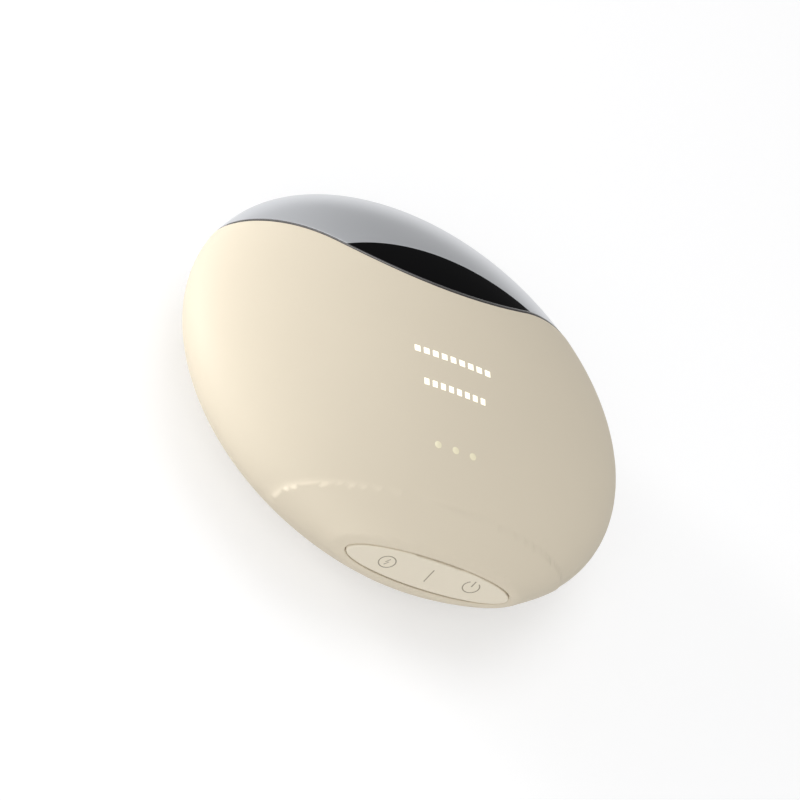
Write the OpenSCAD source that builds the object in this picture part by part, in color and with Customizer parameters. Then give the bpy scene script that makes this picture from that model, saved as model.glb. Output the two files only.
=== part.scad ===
// Palm-sized facial toning device, lying on its back.
// A round flattened body carries a polished metal head at one end and a rocking
// key plate at the other. +X is right, +Y points to the head, +Z out of the front.
// Pieces are drawn about the body's centre; placed() sets them on the resting face.

/* [Body] */
// Diameter of the round outline
body_d = 90; // [84:1:104]
// Thickness through the middle, before the back is made flat
body_t = 31.2; // [30:0.2:36]
// Depth taken off the back for the flat resting face
rest_cut = 0.6; // [0.4:0.1:0.9]
// Wall of the moulded shell and back cover
shell_wall = 2; // [1.6:0.1:2.4]
// How far the seam of the back cover lies below the widest line
seam_drop = 8.6; // [8:0.1:9.4]
// Gap between the shell and the back cover
seam_gap = 0.15; // [0.1:0.05:0.3]

/* [Metal head] */
// Distance from the centre to the lowest point of the head's edge
edge_dip = 13.6; // [13:0.1:15]
// Distance from the centre to the highest stretch of the head's edge
edge_side = 22.5; // [21:0.1:24]
// Sideways distance from the dip to the highest stretch
edge_run = 36; // [34:0.5:38]
// Radius of the curve through the dip
dip_r = 44; // [36:1:50]
// Wall of the metal head
head_wall = 1.8; // [1.4:0.1:2.2]
// How far the metal lies below the shell's surface
head_sink = 0.2; // [0.1:0.05:0.3]
// Open line between the shell and the trim strip
trim_gap = 0.2; // [0.1:0.05:0.3]
// Width of the metallic trim strip
trim_w = 0.45; // [0.3:0.05:0.8]
// Width of the dark gasket line between trim and head
gasket_w = 0.25; // [0.15:0.05:0.4]
// Depth of trim and gasket into the body
trim_depth = 1.9; // [1.4:0.1:2.2]

/* [Light window] */
// Highest point of the window's upper arc, from the centre
window_top = 24.2; // [23:0.1:25]
// Sideways place of the arc's highest point
window_x = 4; // [0:0.5:5]
// Radius of the window's upper arc
window_r = 48; // [44:1:52]
// Side of one red light source
red_led = 2; // [1.6:0.1:2.4]
// Number of red light sources
red_led_count = 5; // [3:1:6]
// Spacing of the red light sources
red_led_pitch = 4.4; // [3:0.1:4.6]

/* [Lit marks] */
// Height of the long row of marks on the front, from the centre
row_a_y = -4.7; // [-5.5:0.1:-4]
// Width of the long row
row_a_w = 16; // [14:0.5:17]
// Number of bars in the long row
row_a_count = 9; // [6:1:10]
// Height of the short row of marks
row_b_y = -11.7; // [-12.5:0.1:-11]
// Width of the short row
row_b_w = 12.8; // [11:0.2:15]
// Number of bars in the short row
row_b_count = 8; // [5:1:9]
// Height of one bar
bar_h = 1.5; // [1.2:0.1:2]
// Space between two bars
bar_gap = 0.55; // [0.4:0.05:0.7]
// Height of the row of dots
dots_y = -24; // [-25:0.1:-23]
// Spacing of the dots
dot_pitch = 3.55; // [3:0.05:4]
// Diameter of one dot
dot_d = 1.46; // [1.2:0.02:1.8]

/* [Key plate] */
// Width of the oval key plate
key_w = 32.4; // [31:0.2:34]
// Height of the oval key plate
key_h = 7.8; // [7.5:0.1:8.4]
// Thickness of the key plate
key_t = 1.2; // [1:0.1:1.4]
// How far the plate's face lies inside the round outline
key_inset = 1.9; // [1.4:0.1:2.2]
// How far the plate lies above the widest line
key_rise = 1.4; // [1.2:0.1:1.7]
// Gap round the key plate
key_gap = 0.25; // [0.2:0.05:0.35]
// Rim left between the key opening and the body's surface
key_rim = 1.2; // [1:0.1:1.6]
// Distance of each pressing point from the middle
press_x = 8.3; // [7.5:0.1:9]
// Diameter of the steel pin that the plate rocks on
key_pin_d = 1; // [0.8:0.1:1.2]
// Distance from the plate's face to the pin's axis
key_pin_depth = 2.2; // [2.1:0.1:2.4]
// Free travel between the plate's stems and the switches
press_gap = 0.3; // [0.3:0.05:0.4]

/* [Inside] */
// Width of the battery
battery_w = 30; // [24:1:31]
// Length of the battery
battery_l = 24; // [20:1:25]
// Thickness of the battery
battery_t = 5.5; // [4:0.1:6]
// Diameter of the vibration motor
motor_d = 10; // [8:0.5:10]
// Height of the vibration motor
motor_h = 3.3; // [2.8:0.1:3.6]
// Thickness of the main circuit board
board_t = 1; // [0.8:0.1:1.2]
// Thickness of the floor of the inner frame
floor_t = 1.4; // [1:0.1:1.6]
// Diameter of the inner screws
screw_d = 1.6; // [1.4:0.1:2]
// Diameter of a charging contact
contact_d = 2.4; // [2:0.1:2.8]
// Spacing of the charging contacts
contact_pitch = 8; // [7:0.5:9]
// Diameter of a charging magnet
magnet_d = 4; // [3:0.1:4.2]
// Thickness of a charging magnet
magnet_t = 2; // [1.5:0.1:2.4]

/* [Hidden] */
$fn = 96;

// Fits shared by all pieces
slip = 0.05;
pin_clearance = 0.03;
tiny = 0.01;

// Body
radius = body_d / 2;
half_t = body_t / 2;
rest_z = -(half_t - rest_cut);
key_face = radius - key_inset;
mid_y = (radius - head_sink - key_face) / 2;
beyond = 10;
far = radius + beyond;
profile_steps = 36;

// Curve of the head's edge: one arc through the dip and one on each side
edge_turn = 2 * atan((edge_side - edge_dip) / edge_run);
side_r = edge_run / sin(edge_turn) - dip_r;
arc_steps = 6;

// The joint between shell and head, measured along +Y from the edge curve
trim_start = trim_gap;
gasket_start = trim_start + trim_w;
head_start = gasket_start + gasket_w;
head_side = head_sink + head_wall + slip;
carrier_side = max(shell_wall + slip, head_side);
carrier_wall = 1.3;
carrier_in_shell = 2.2;
carrier_in_head = 2;
web_t = 1.4;

// Light window
window_y = window_top - window_r;

// The seam of the back cover: a lip inside the shell and a seal in a groove
lip_h = 1.2;
lip_root = 1;
lip_wall = 1;
seal_w = 0.9;
seal_h = 0.7;
seal_r = radius * sqrt(1 - pow(seam_drop / half_t, 2)) - seal_w;
seal_end_room = 0.25;

// Levels of the inner stack, along Z
floor_z = 1.6;
board_z = floor_z + floor_t;
board_top = board_z + board_t;
mask_h = 3.2;
guide_z = board_top + mask_h;
guide_t = 1.2;

// Light mask: walls round the rows and the dots, between board and light guide
mask_wall = 0.8;
mask_room = 1.8;
mask_half_w = row_a_w / 2 + mask_room + mask_wall / 2;
mask_back = dots_y - mask_room - mask_wall;
mask_front = row_a_y + mask_room + mask_wall;
mask_dots_inset = 4;
guide_edge = 0.4;
led_side = 1.2;
led_h = 0.7;

// Battery and its leads
pad_t = 0.5;
pad_edge = 2;
battery_room = 0.2;
battery_top = floor_z - pad_t;
battery_y = -14;
battery_front = battery_y + battery_l / 2;
lead_d = 0.9;
lead_pitch = 1.1;
lead_room = 1.3;
lead_side = 3.5;
lead_x = max(mask_half_w + lead_room, battery_w / 2 - lead_side);
lead_w = lead_pitch + lead_d;
lead_bend = 0.8;
lead_z = battery_top - battery_t / 2 + 0.05;

// Inner frame and main board
frame_w = 54;
frame_back = -31;
frame_front = 8;
frame_r = 35;
frame_wall = 1.2;
board_edge = 0.5;
board_w = 53;
screw_places = [[-22, -17], [22, -17], [-21, 5], [21, 5]];
boss_r = screw_d / 2 + 1.3;
boss_room = 0.2;
screw_grip = 5;
screw_head_r = screw_d / 2 + 0.7;
screw_head_t = 1;
screw_slot = 0.3;

// Vibration motor
motor_r = motor_d / 2;
motor_y = 4.8;
boot_t = 0.5;
cup_wall = 1;
cup_h = 2.5;
cup_r = motor_r + boot_t + slip + cup_wall;
can_t = 0.25;
base_t = 0.3;
shaft_r = 0.4;
hub_r = 1.2;
rotor_room = 0.4;
board_front = motor_y - cup_r - board_edge;

// Light board in the head, its flexible lead and the springs that carry current to the metal
led_z = 8.6;
led_t = 0.8;
led_back = 17.8;
led_front = 25.4;
led_half_w = 15;
red_led_h = 0.9;
led_arm_x = 11;
led_arm_w = 2;
led_arm_t = 1;
led_arm_back = edge_dip + 2.5;
flex_t = 0.2;
flex_w = 2.4;
flex_x = led_half_w - flex_w;
flex_end = -8;
flex_room = 0.3;
flex_rise_y = led_back + 1;
spring_x = 13;
spring_y = 24.2;
spring_r = 0.5;
spring_base_r = 0.9;
spring_base_h = 0.6;

// Warming plate behind the metal
spreader_w = 24;
spreader_h = 9;
spreader_drop = 9;
spreader_y = radius - spreader_drop;
film_t = 0.3;
film_edge = 1;
bead_r = 0.9;
bead_h = 0.8;

// Key plate and what carries it, along Y
rim_w = key_w / 2 + key_gap + key_rim;
rim_h = key_h / 2 + key_gap + key_rim;
rim_sink = 0.5;
rim_turn = atan2(key_face, rim_w) - acos(radius / norm([rim_w, key_face]));
rim_back = 1;
key_back = -key_face + key_t;
pin_y = -key_face + key_pin_depth;
key_pin_r = key_pin_d / 2;
lug_r = key_pin_r + 0.7;
lug_half = 1.5;
ear_t = 1;
ear_gap = 0.2;
ear_half_w = 1.3;
ear_room = 0.3;
stem_l = 0.4;
stem_r = 1.2;
plunger_r = 0.9;
plunger_h = 0.4;
switch_w = 3.2;
switch_h = 1;
key_board_t = 0.6;
key_board_inset = [2, 0.8];
lug_room = 0.8;
switch_top = key_back + stem_l + press_gap;
key_board_y = switch_top + plunger_h + switch_h;
key_frame_y = key_board_y + key_board_t;
key_frame_t = 1;
seat_y = key_frame_y + key_frame_t;
seat_t = 1.2;
seat_ledge = 1;
key_flex_x = 2.2;
key_flex_w = 3.6;
key_flex_t = 0.2;
key_flex_room = 0.2;
key_flex_end = mask_back - 1.6;

// Charging contacts
contact_r = contact_d / 2;
contact_sink = 0.1;
flange_r = contact_r + 0.6;
flange_t = 0.4;
flange_z = rest_z + shell_wall - 0.2;
charge_rise = 4.4;
charge_board_z = rest_z + charge_rise;
charge_board_t = 0.8;
charge_board_l = 12.8;
charge_board_w = contact_pitch + contact_d + 3.6;
post_r = 1.2;
post_y = charge_board_l / 2 - post_r - 0.2;
magnet_gap = 5.2;
magnet_x = contact_pitch / 2 + magnet_gap;
magnet_skin = 1.6;
magnet_floor = rest_z + magnet_skin;
magnet_wall = 0.7;
base_root = 0.5;
magnet_cup_h = magnet_floor + magnet_t - rest_z - 2 * base_root;
charge_lead_d = 1;
charge_lead_x = 18.6;
charge_lead_y = -5;

// Parts on the main board: low corner, high corner in the board's plane, and height
board_blocks = [
    [[-23, -11], [-16.5, -4.8], 1],
    [[13, -15], [18, -10], 1.4],
    [[19.5, -12], [23, -8.5], 1.8],
    [[-20, -24], [-16, -20], 0.9],
    [[lead_x - 0.5, board_front - 5], [lead_x + lead_w + 0.5, board_front - 0.6], 1.4]
];
socket_l = 2.4;
socket_edge = 0.4;
socket_h = 0.9;

module placed() {
    translate([0, -mid_y, -rest_z]) children();
}

// The body's rounded form, made smaller by an even inset: half an ellipse, turned
module pebble(inset) {
    rotate_extrude() polygon([
        for (i = [0 : profile_steps])
            let (turn = 90 - 180 * i / profile_steps)
            [(radius - inset) * cos(turn), (half_t - inset) * sin(turn)]
    ]);
}

// A box from one corner to the other
module span(low, high) {
    translate(low) cube(high - low);
}

// Points of the edge curve from left to right: an arc on each side of the dip's arc
function side_arc(side) = [
    for (i = [0 : 2 * arc_steps])
        let (turn = side * (edge_turn * i / arc_steps - edge_turn))
        [side * edge_run + side_r * sin(turn), edge_side - side_r + side_r * cos(turn)]
];
function dip_arc() = [
    for (i = [1 - arc_steps : arc_steps - 1])
        let (turn = edge_turn * i / arc_steps)
        [dip_r * sin(turn), edge_dip + dip_r - dip_r * cos(turn)]
];
function reversed(points) = [for (i = [len(points) - 1 : -1 : 0]) points[i]];

// Everything on the head's side of the edge curve, moved along +Y by shift
module beyond_edge(shift) {
    translate([0, shift, -far]) linear_extrude(2 * far) polygon(concat(
        reversed(side_arc(-1)), dip_arc(), side_arc(1), [[far, far], [-far, far]]
    ));
}

// A closed band of the body between two shifts of the edge curve and two insets
module edge_band(shift_a, shift_b, inset_a, inset_b) {
    difference() {
        intersection() {
            pebble(inset_a);
            beyond_edge(shift_a);
        }
        beyond_edge(shift_b);
        pebble(inset_b);
    }
}

// An upright oval prism along Y, centred on the key plate
module key_oval(half_w, half_h, y_from, y_to) {
    translate([0, y_to, key_rise]) rotate([90, 0, 0]) linear_extrude(y_to - y_from)
        scale([half_w, half_h]) circle(r = 1, $fn = 72);
}

// The end of the body that the key plate is let into: it runs on from the round
// outline along the two lines that touch it
module key_end() {
    end_r = radius * cos(rim_turn) - rim_sink;
    end_y = -radius * sin(rim_turn);
    translate([0, -key_face, key_rise]) rotate([-90, 0, 0]) scale([1, rim_h / rim_w, 1])
        cylinder(r1 = rim_w, r2 = end_r, h = end_y + key_face);
}

// Outlines of the lit marks, as upright prisms grown by an even margin
module mark_bars(row_y, row_w, count, grow, z_from, z_to) {
    bar_w = (row_w - (count - 1) * bar_gap) / count;
    for (i = [0 : count - 1]) {
        x = -row_w / 2 + i * (bar_w + bar_gap);
        span([x - grow, row_y - bar_h / 2 - grow, z_from],
             [x + bar_w + grow, row_y + bar_h / 2 + grow, z_to]);
    }
}

module marks(grow, z_from, z_to) {
    mark_bars(row_a_y, row_a_w, row_a_count, grow, z_from, z_to);
    mark_bars(row_b_y, row_b_w, row_b_count, grow, z_from, z_to);
    for (i = [-1 : 1])
        translate([i * dot_pitch, dots_y, z_from])
            cylinder(r = dot_d / 2 + grow, h = z_to - z_from, $fn = 32);
}

module main_shell() {
    color([0.84, 0.80, 0.71]) placed() difference() {
        union() {
            difference() {
                union() {
                    pebble(0);
                    key_end();
                }
                pebble(shell_wall);
            }
            intersection() {
                pebble(shell_wall / 2);
                for (place = screw_places)
                    translate([place[0], place[1], board_z]) cylinder(r = boss_r, h = half_t, $fn = 32);
            }
            key_oval(rim_w, rim_h, -key_face + rim_back, seat_y + seat_t);
        }
        span([-far, -far, -far], [far, far, -seam_drop]);
        span([-far, -far, -far], [far, -key_face, far]);
        beyond_edge(0);
        key_oval(key_w / 2 + key_gap, key_h / 2 + key_gap, -far, seat_y);
        key_oval(key_w / 2 + key_gap - seat_ledge, key_h / 2 + key_gap - seat_ledge,
                 -far, seat_y + seat_t + 1);
        marks(slip, guide_z, half_t + 1);
        for (place = screw_places)
            translate([place[0], place[1], board_z - 1])
                cylinder(r = screw_d / 2 + tiny, h = screw_grip + 2, $fn = 24);
        translate([0, 0, -seam_drop - 1]) difference() {
            cylinder(r = seal_r + seal_w / 2 + slip, h = seal_h + 1);
            translate([0, 0, -1]) cylinder(r = seal_r - seal_w / 2 - slip, h = seal_h + 3);
        }
    }
}

// The body's form between two levels
module cover_slice(inset, z_from, z_to) {
    intersection() {
        pebble(inset);
        span([-far, -far, z_from], [far, far, z_to]);
    }
}

module back_cover() {
    cover_top = -seam_drop - seam_gap;
    color([0.82, 0.78, 0.69]) placed() difference() {
        union() {
            difference() {
                cover_slice(0, rest_z, cover_top);
                pebble(shell_wall);
                beyond_edge(0);
            }
            difference() {
                union() {
                    cover_slice(shell_wall - base_root, cover_top - lip_root, cover_top);
                    cover_slice(shell_wall + slip, cover_top - lip_root, -seam_drop + lip_h);
                }
                pebble(shell_wall + lip_wall);
                beyond_edge(-carrier_in_shell - lip_root);
            }
            for (side = [-1, 1]) {
                translate([side * magnet_x, 0, rest_z + base_root])
                    cylinder(r = magnet_d / 2 + magnet_wall, h = magnet_cup_h, $fn = 32);
                translate([0, side * post_y, rest_z + base_root])
                    cylinder(r = post_r, h = charge_board_z - rest_z - base_root, $fn = 24);
            }
        }
        for (side = [-1, 1]) {
            translate([side * magnet_x, 0, magnet_floor])
                cylinder(r = magnet_d / 2 + slip, h = far, $fn = 32);
            translate([side * contact_pitch / 2, 0, rest_z - 1])
                cylinder(r = contact_r + slip, h = charge_rise + 1, $fn = 32);
        }
    }
}

module cover_seal() {
    color([0.15, 0.15, 0.16]) placed() difference() {
        translate([0, 0, -seam_drop - seam_gap])
            cylinder(r = seal_r + seal_w / 2, h = seal_h + seam_gap - slip);
        translate([0, 0, -far]) cylinder(r = seal_r - seal_w / 2, h = far);
        beyond_edge(-seam_gap - seal_end_room);
    }
}

module trim_ring() {
    color([0.62, 0.64, 0.66]) placed()
        edge_band(trim_start, gasket_start, head_sink / 2, trim_depth);
}

module head_gasket() {
    color([0.1, 0.1, 0.11]) placed()
        edge_band(gasket_start, head_start, head_sink * 2, trim_depth);
}

module window_region(grow) {
    translate([window_x, window_y, 0]) cylinder(r = window_r + grow, h = far);
}

module massage_head() {
    color([0.75, 0.77, 0.8]) placed() difference() {
        intersection() {
            pebble(head_sink);
            beyond_edge(head_start);
        }
        pebble(head_sink + head_wall);
        window_region(0);
    }
}

module light_window() {
    color([0.08, 0.08, 0.09]) placed() difference() {
        intersection() {
            pebble(head_sink);
            beyond_edge(head_start);
            window_region(-slip);
        }
        pebble(head_sink + head_wall);
    }
}

module head_carrier() {
    color([0.2, 0.2, 0.21]) placed() difference() {
        union() {
            difference() {
                intersection() {
                    pebble(carrier_side);
                    beyond_edge(-carrier_in_shell);
                }
                beyond_edge(head_start + carrier_in_head);
                difference() {
                    pebble(carrier_side + carrier_wall);
                    beyond_edge(trim_start);
                }
                intersection() {
                    pebble(carrier_side + carrier_wall);
                    beyond_edge(trim_start + web_t);
                }
            }
            for (side = [-1, 1])
                span([side * led_arm_x - led_arm_w / 2, led_arm_back, led_z - led_arm_t],
                     [side * led_arm_x + led_arm_w / 2, led_front - 1, led_z]);
        }
        span([-flex_x - flex_w - flex_room, 0, board_top - flex_room],
             [-flex_x + flex_room, flex_rise_y, board_top + flex_t + flex_room]);
    }
}

module led_board() {
    color([0.1, 0.32, 0.2]) placed()
        span([-led_half_w, led_back, led_z], [led_half_w, led_front, led_z + led_t]);
}

module red_leds() {
    color([0.85, 0.3, 0.28]) placed() for (i = [0 : red_led_count - 1]) {
        x = (i - (red_led_count - 1) / 2) * red_led_pitch;
        translate([x - red_led / 2, led_back + 1, led_z + led_t]) cube([red_led, red_led, red_led_h]);
    }
}

module contact_springs() {
    color([0.85, 0.7, 0.35]) placed() for (side = [-1, 1])
        intersection() {
            pebble(head_side);
            translate([side * spring_x, spring_y, led_z + led_t]) {
                cylinder(r = spring_base_r, h = spring_base_h, $fn = 24);
                cylinder(r = spring_r, h = far, $fn = 24);
            }
        }
}

module heat_spreader() {
    color([0.7, 0.72, 0.74]) placed() intersection() {
        pebble(head_side);
        span([-spreader_w / 2, spreader_y, -spreader_h / 2], [spreader_w / 2, far, spreader_h / 2]);
    }
}

module heater_film() {
    color([0.8, 0.5, 0.2]) placed()
        span([-spreader_w / 2 + film_edge, spreader_y - film_t, -(spreader_h - film_edge) / 2],
             [spreader_w / 2 - film_edge, spreader_y, (spreader_h - film_edge) / 2]);
}

module thermistor() {
    color([0.2, 0.2, 0.22]) placed() translate([0, spreader_y - film_t, 0]) rotate([90, 0, 0])
        cylinder(r = bead_r, h = bead_h, $fn = 24);
}

module head_flex() {
    color([0.75, 0.5, 0.2]) placed() {
        span([-flex_x - flex_w, flex_end, board_top], [-flex_x, flex_rise_y, board_top + flex_t]);
        span([-flex_x - flex_w, flex_rise_y - flex_t, board_top], [-flex_x, flex_rise_y, led_z]);
    }
}

module inner_frame() {
    color([0.3, 0.3, 0.31]) placed() difference() {
        union() {
            intersection() {
                span([-frame_w / 2, frame_back, floor_z], [frame_w / 2, frame_front, board_z]);
                cylinder(r = frame_r, h = far);
            }
            translate([0, motor_y, floor_z]) cylinder(r = cup_r, h = floor_t + cup_h);
            battery_box(frame_wall + battery_room, battery_top - battery_t, floor_z + tiny);
        }
        battery_box(battery_room, battery_top - battery_t - 1, floor_z);
        translate([0, motor_y, board_z]) cylinder(r = cup_r - cup_wall, h = far);
        for (place = screw_places)
            translate([place[0], place[1], 0]) cylinder(r = screw_d / 2 + 2 * slip, h = far, $fn = 24);
        span([lead_x - 0.3, battery_front - battery_room - tiny, -far],
             [lead_x + lead_w + 0.3, battery_front + lead_bend + lead_d + 0.1, far]);
        span([charge_lead_x - 0.2, charge_lead_y - 0.2, 0],
             [charge_lead_x + charge_lead_d + 0.2, charge_lead_y + charge_lead_d + 0.2, far]);
    }
}

// The battery's block, grown sideways by an even margin
module battery_box(grow, z_from, z_to) {
    span([-battery_w / 2 - grow, battery_y - battery_l / 2 - grow, z_from],
         [battery_w / 2 + grow, battery_y + battery_l / 2 + grow, z_to]);
}

module frame_screws() {
    color([0.6, 0.6, 0.62]) placed() for (place = screw_places)
        translate([place[0], place[1], floor_z]) {
            cylinder(r = screw_d / 2, h = floor_t + screw_grip, $fn = 24);
            translate([0, 0, -screw_head_t]) difference() {
                cylinder(r = screw_head_r, h = screw_head_t, $fn = 24);
                for (turn = [0, 90]) rotate([0, 0, turn])
                    translate([-screw_head_r * 0.6, -screw_slot / 2, -1])
                        cube([screw_head_r * 1.2, screw_slot, 1 + screw_head_t / 2]);
            }
        }
}

module main_board() {
    color([0.08, 0.3, 0.22]) placed() difference() {
        intersection() {
            span([-board_w / 2, frame_back + board_edge, board_z], [board_w / 2, board_front, board_top]);
            cylinder(r = frame_r - board_edge, h = far);
        }
        for (place = screw_places)
            translate([place[0], place[1], 0]) cylinder(r = boss_r + boss_room, h = far, $fn = 32);
    }
}

// The socket that holds the end of a flexible lead on the main board
module flex_socket(x_from, x_to, y_end, lead_t) {
    span([x_from - socket_edge, y_end, board_top + lead_t],
         [x_to + socket_edge, y_end + socket_l, board_top + lead_t + socket_h]);
}

module board_parts() {
    color([0.12, 0.12, 0.13]) placed() {
        for (block = board_blocks)
            span([block[0][0], block[0][1], board_top], [block[1][0], block[1][1], board_top + block[2]]);
        flex_socket(-flex_x - flex_w, -flex_x, flex_end, flex_t);
        flex_socket(key_flex_x, key_flex_x + key_flex_w, key_flex_end - socket_l, key_flex_t);
    }
}

module battery() {
    color([0.75, 0.76, 0.78]) placed() battery_box(0, battery_top - battery_t, battery_top);
}

module battery_pad() {
    color([0.9, 0.9, 0.88]) placed() battery_box(-pad_edge, battery_top, floor_z);
}

module battery_leads() {
    bend_y = battery_front + lead_bend;
    top_z = board_top + 0.1;
    color([0.7, 0.15, 0.12]) placed() for (i = [0, 1]) {
        x = lead_x + i * lead_pitch;
        span([x, battery_front, lead_z], [x + lead_d, bend_y + lead_d, lead_z + lead_d]);
        span([x, bend_y, lead_z], [x + lead_d, bend_y + lead_d, top_z + lead_d]);
        span([x, board_front - 0.6, top_z], [x + lead_d, bend_y + lead_d, top_z + lead_d]);
    }
}

// An opening in the light mask between two levels along Y
module mask_room_at(y_from, y_to, side_inset) {
    span([-mask_half_w + side_inset, y_from, 0], [mask_half_w - side_inset, y_to, far]);
}

module light_mask() {
    color([0.12, 0.12, 0.13]) placed() difference() {
        span([-mask_half_w, mask_back, board_top], [mask_half_w, mask_front, guide_z]);
        mask_room_at(row_a_y - mask_room, row_a_y + mask_room, mask_wall);
        mask_room_at(row_b_y - mask_room, row_b_y + mask_room, mask_wall);
        mask_room_at(dots_y - mask_room, dots_y + mask_room, mask_wall);
        mask_room_at(dots_y + mask_room + mask_wall, row_b_y - mask_room - mask_wall, mask_dots_inset);
    }
}

module light_guide() {
    color([1, 0.98, 0.9]) placed() {
        span([-mask_half_w + guide_edge, mask_back + guide_edge, guide_z],
             [mask_half_w - guide_edge, mask_front - guide_edge, guide_z + guide_t]);
        intersection() {
            pebble(0);
            marks(0, guide_z + guide_t - tiny, half_t + 1);
        }
    }
}

module indicator_led(x, y) {
    translate([x - led_side / 2, y - led_side / 2, board_top]) cube([led_side, led_side, led_h]);
}

module indicator_leds() {
    color([0.95, 0.93, 0.8]) placed() {
        for (i = [-1.5 : 1 : 1.5]) {
            indicator_led(i * row_a_w / 4, row_a_y);
            indicator_led(i * row_b_w / 4, row_b_y);
        }
        for (i = [-1 : 1])
            indicator_led(i * dot_pitch, dots_y);
    }
}

module motor_case() {
    color([0.75, 0.76, 0.77]) placed() translate([0, motor_y, board_z]) difference() {
        cylinder(r = motor_r, h = motor_h);
        translate([0, 0, -1]) cylinder(r = motor_r - can_t, h = motor_h - can_t + 1);
    }
}

module motor_base() {
    color([0.35, 0.25, 0.15]) placed() translate([0, motor_y, board_z])
        cylinder(r = motor_r - can_t, h = base_t);
}

module motor_shaft() {
    color([0.6, 0.6, 0.62]) placed() translate([0, motor_y, board_z + base_t])
        cylinder(r = shaft_r, h = motor_h - base_t - can_t, $fn = 32);
}

module motor_rotor() {
    rotor_h = motor_h - base_t - can_t - 2 * rotor_room;
    color([0.5, 0.48, 0.44]) placed() translate([0, motor_y, board_z + base_t + rotor_room]) difference() {
        union() {
            cylinder(r = hub_r, h = rotor_h, $fn = 32);
            intersection() {
                cylinder(r = motor_r - can_t - rotor_room, h = rotor_h);
                span([-far, 0, -1], [far, far, far]);
            }
        }
        translate([0, 0, -1]) cylinder(r = shaft_r + pin_clearance, h = far, $fn = 32);
    }
}

module motor_boot() {
    color([0.2, 0.2, 0.2]) placed() translate([0, motor_y, board_z]) difference() {
        cylinder(r = motor_r + boot_t, h = motor_h - 0.3);
        translate([0, 0, -1]) cylinder(r = motor_r + tiny, h = far);
    }
}

module key_plate() {
    color([0.87, 0.84, 0.76]) placed() difference() {
        union() {
            key_oval(key_w / 2, key_h / 2, -key_face, key_back);
            for (side = [-1, 1])
                translate([side * press_x, key_back - tiny, key_rise]) rotate([-90, 0, 0])
                    cylinder(r = stem_r, h = stem_l + tiny, $fn = 32);
            translate([0, pin_y, key_rise - lug_half]) cylinder(r = lug_r, h = 2 * lug_half, $fn = 48);
            span([-lug_r, key_back - tiny, key_rise - lug_half], [lug_r, pin_y, key_rise + lug_half]);
        }
        translate([0, pin_y, key_rise - lug_half - 1])
            cylinder(r = key_pin_r + pin_clearance, h = 2 * lug_half + 2, $fn = 48);
    }
}

module key_pin() {
    half = lug_half + ear_gap + ear_t;
    color([0.7, 0.7, 0.72]) placed()
        translate([0, pin_y, key_rise - half]) cylinder(r = key_pin_r, h = 2 * half, $fn = 48);
}

module key_frame() {
    color([0.25, 0.25, 0.26]) placed() difference() {
        union() {
            key_oval(key_w / 2, key_h / 2, key_frame_y, seat_y);
            for (side = [-1, 1]) {
                z = key_rise + side * (lug_half + ear_gap + ear_t / 2);
                span([-ear_half_w, key_back + ear_room, z - ear_t / 2],
                     [ear_half_w, key_frame_y + tiny, z + ear_t / 2]);
            }
        }
        translate([0, pin_y, -far]) cylinder(r = key_pin_r + tiny, h = 2 * far, $fn = 48);
        span([key_flex_x - key_flex_room, -far, board_top - key_flex_room],
             [key_flex_x + key_flex_w + key_flex_room, 0, board_top + key_flex_t + key_flex_room]);
    }
}

module key_board() {
    color([0.1, 0.32, 0.24]) placed() difference() {
        key_oval(key_w / 2 - key_board_inset[0], key_h / 2 - key_board_inset[1], key_board_y, key_frame_y);
        span([-lug_r - lug_room, -far, -far], [lug_r + lug_room, 0, far]);
    }
}

module key_switches() {
    color([0.85, 0.85, 0.85]) placed() for (side = [-1, 1])
        translate([side * press_x, key_board_y, key_rise]) {
            span([-switch_w / 2, -switch_h, -switch_w / 2], [switch_w / 2, 0, switch_w / 2]);
            rotate([90, 0, 0]) cylinder(r = plunger_r, h = switch_h + plunger_h, $fn = 24);
        }
}

module key_flex() {
    color([0.75, 0.5, 0.2]) placed()
        span([key_flex_x, key_frame_y, board_top],
             [key_flex_x + key_flex_w, key_flex_end, board_top + key_flex_t]);
}

module charge_contacts() {
    color([0.85, 0.7, 0.35]) placed() for (side = [-1, 1])
        translate([side * contact_pitch / 2, 0, 0]) {
            translate([0, 0, rest_z + contact_sink])
                cylinder(r = contact_r, h = charge_board_z - rest_z - contact_sink, $fn = 32);
            translate([0, 0, flange_z]) cylinder(r = flange_r, h = flange_t, $fn = 32);
        }
}

module charge_magnets() {
    color([0.7, 0.72, 0.74]) placed() for (side = [-1, 1])
        translate([side * magnet_x, 0, magnet_floor]) cylinder(r = magnet_d / 2, h = magnet_t, $fn = 32);
}

module charge_board() {
    color([0.1, 0.32, 0.24]) placed()
        span([-charge_board_w / 2, -charge_board_l / 2, charge_board_z],
             [charge_board_w / 2, charge_board_l / 2, charge_board_z + charge_board_t]);
}

module charge_leads() {
    z = charge_board_z + charge_board_t;
    x = charge_lead_x;
    y = charge_lead_y;
    d = charge_lead_d;
    color([0.15, 0.15, 0.16]) placed() {
        span([charge_board_w / 2 - 2, y, z], [x + d, y + d, z + d]);
        span([x, y, z], [x + d, y + d, board_z]);
    }
}

main_shell();
back_cover();
cover_seal();
trim_ring();
head_gasket();
massage_head();
light_window();
head_carrier();
led_board();
red_leds();
contact_springs();
heat_spreader();
heater_film();
thermistor();
head_flex();
inner_frame();
frame_screws();
main_board();
board_parts();
battery();
battery_pad();
battery_leads();
light_mask();
light_guide();
indicator_leds();
motor_case();
motor_base();
motor_shaft();
motor_rotor();
motor_boot();
key_plate();
key_pin();
key_frame();
key_board();
key_switches();
key_flex();
charge_contacts();
charge_magnets();
charge_board();
charge_leads();
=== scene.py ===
import math

import bmesh
import bpy
import numpy as np
from mathutils import Matrix, Vector


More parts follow.
